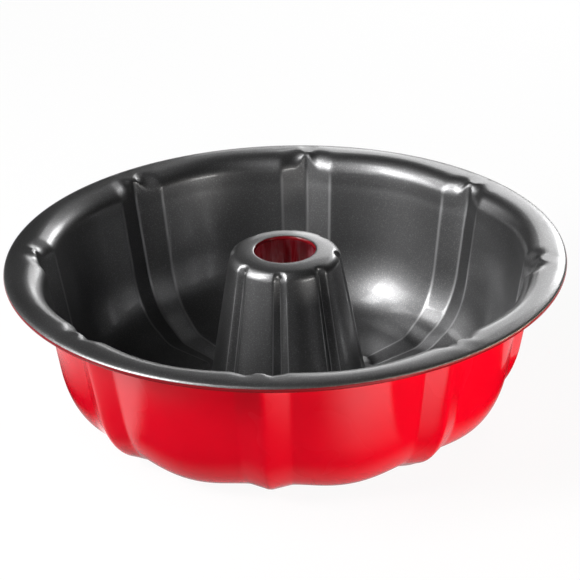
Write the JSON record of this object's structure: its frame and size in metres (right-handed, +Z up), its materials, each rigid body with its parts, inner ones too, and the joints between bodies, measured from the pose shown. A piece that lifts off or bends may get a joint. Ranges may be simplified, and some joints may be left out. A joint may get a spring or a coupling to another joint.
{
  "type": "fluted tube pan",
  "caption": "Round fluted tube pan for ring cakes, pressed from coated steel sheet, with a rolled rim, V-shaped ribs down its wall and a tapered, grooved centre tube with an open vent.",
  "frame": {"origin": "on the tube's axis, in the plane that the pan stands on", "axes": "+Z up along the tube's axis, -Y through the middle of one of the wall's ribs"},
  "size_m": [0.26, 0.26, 0.0804],
  "materials": {
    "red_lacquer": "glossy red lacquer outside, semi-gloss dark grey non-stick coating inside",
    "grey_non_stick": "semi-gloss dark grey non-stick coating with a fine metallic grain, red lacquer inside the vent",
    "plain_steel": "plain drawn steel wire, hidden inside the rim's bead"
  },
  "bodies": {
    "root": {"pan_body": "red_lacquer", "centre_tube": "grey_non_stick", "rim_wire": "plain_steel"}
  },
  "joints": []
}
